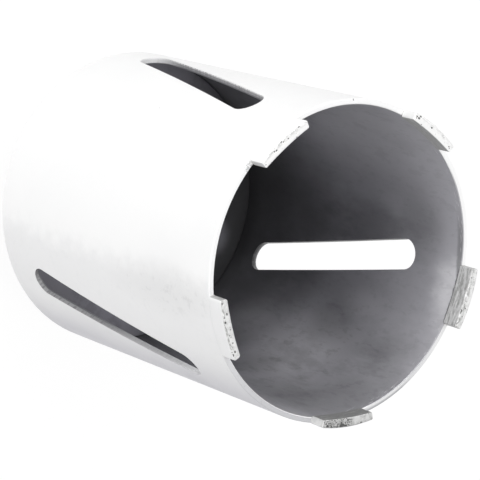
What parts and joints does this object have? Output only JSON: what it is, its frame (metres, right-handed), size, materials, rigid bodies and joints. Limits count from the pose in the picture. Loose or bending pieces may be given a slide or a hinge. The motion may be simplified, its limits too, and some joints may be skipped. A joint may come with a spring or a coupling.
{
  "type": "diamond core bit",
  "caption": "Dry core bit: a slotted steel barrel with brazed diamond segments on its rim and a female pipe thread in its hub.",
  "frame": {"origin": "centre of the hub's end face, on the axis of rotation", "axes": "+Z along the axis from the hub to the cutting segments; +X through the middle of the first segment"},
  "size_m": [0.1267, 0.1264, 0.1785],
  "materials": {
    "barrel_steel": "satin silver, smooth, with faint scuffs",
    "turned_steel": "fine turning marks",
    "weld_metal": "rippled weld bead",
    "silver_solder": "dull dark solder",
    "sintered_grit": "granular sintered metal with dark pits"
  },
  "bodies": {
    "root": {"barrel": "barrel_steel", "back_plate": "barrel_steel", "hub": "turned_steel", "hub_weld": "weld_metal", "plate_weld": "weld_metal", "braze_1": "silver_solder", "braze_2": "silver_solder", "braze_3": "silver_solder", "braze_4": "silver_solder", "braze_5": "silver_solder", "segment_1": "sintered_grit", "segment_2": "sintered_grit", "segment_3": "sintered_grit", "segment_4": "sintered_grit", "segment_5": "sintered_grit"}
  },
  "joints": []
}
